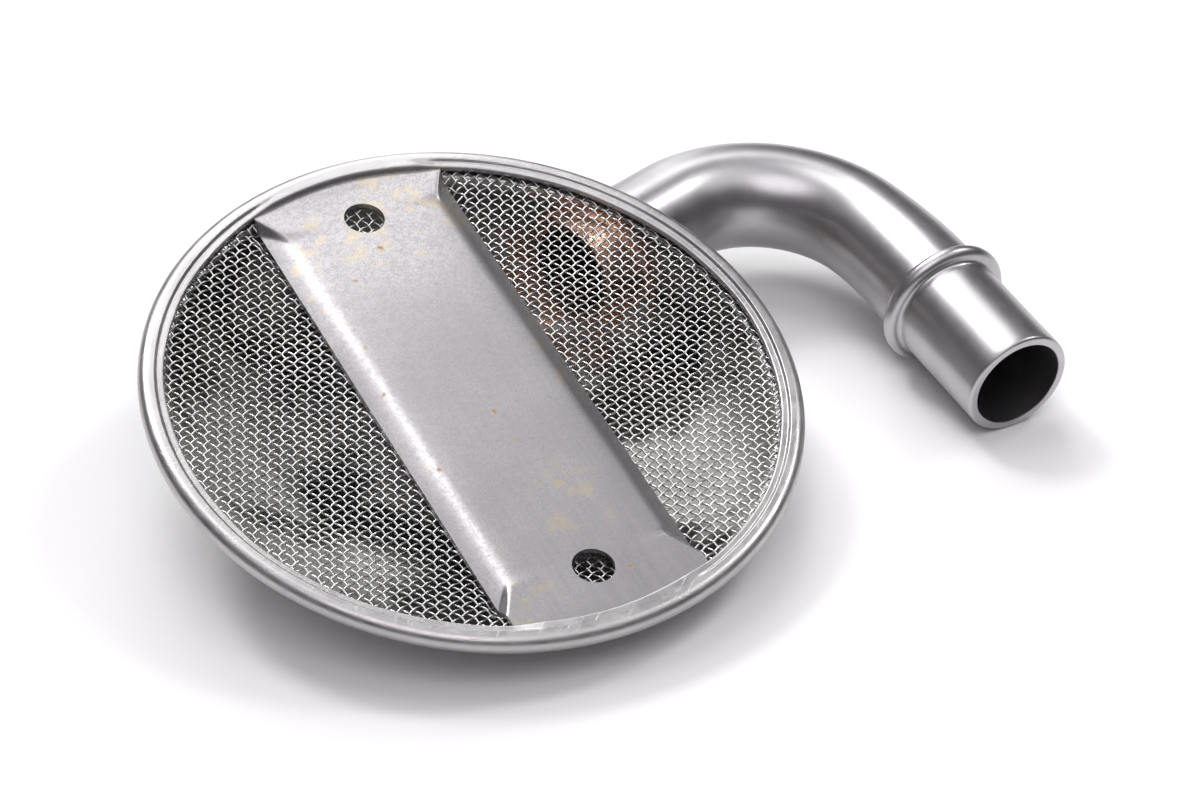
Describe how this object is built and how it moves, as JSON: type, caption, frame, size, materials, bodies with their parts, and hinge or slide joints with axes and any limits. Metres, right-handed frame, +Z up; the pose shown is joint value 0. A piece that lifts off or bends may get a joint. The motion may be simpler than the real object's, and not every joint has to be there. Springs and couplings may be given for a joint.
{
  "type": "oil pickup screen",
  "caption": "Round wire-screen strainer in a rolled-rim steel bell, with a strap across the screen and a bent, brazed pickup tube ending in a beaded spigot.",
  "frame": {"origin": "middle of the object's bounding box, on the floor it lies on", "axes": "+Z up from the floor, +Y the way the open spigot is pushed home, +X towards the tube's side"},
  "size_m": [0.1527, 0.1044, 0.0338],
  "materials": {
    "bell_steel": "stamped mild steel, bright on the rolled lip and duller below it, with fine handling scratches",
    "screen_wire": "plain-woven steel wire, slightly dull",
    "strap_steel": "matte grey sheet steel with fine specks and a few straw-coloured spots",
    "tube_steel": "satin drawn steel tube with a faint weld line and a few coppery specks",
    "copper_braze": "copper furnace braze, smooth and slightly dull"
  },
  "bodies": {
    "root": {"bell_housing": "bell_steel", "wire_screen": "screen_wire", "cross_strap": "strap_steel", "pickup_tube": "tube_steel", "braze_fillet": "copper_braze"}
  },
  "joints": []
}
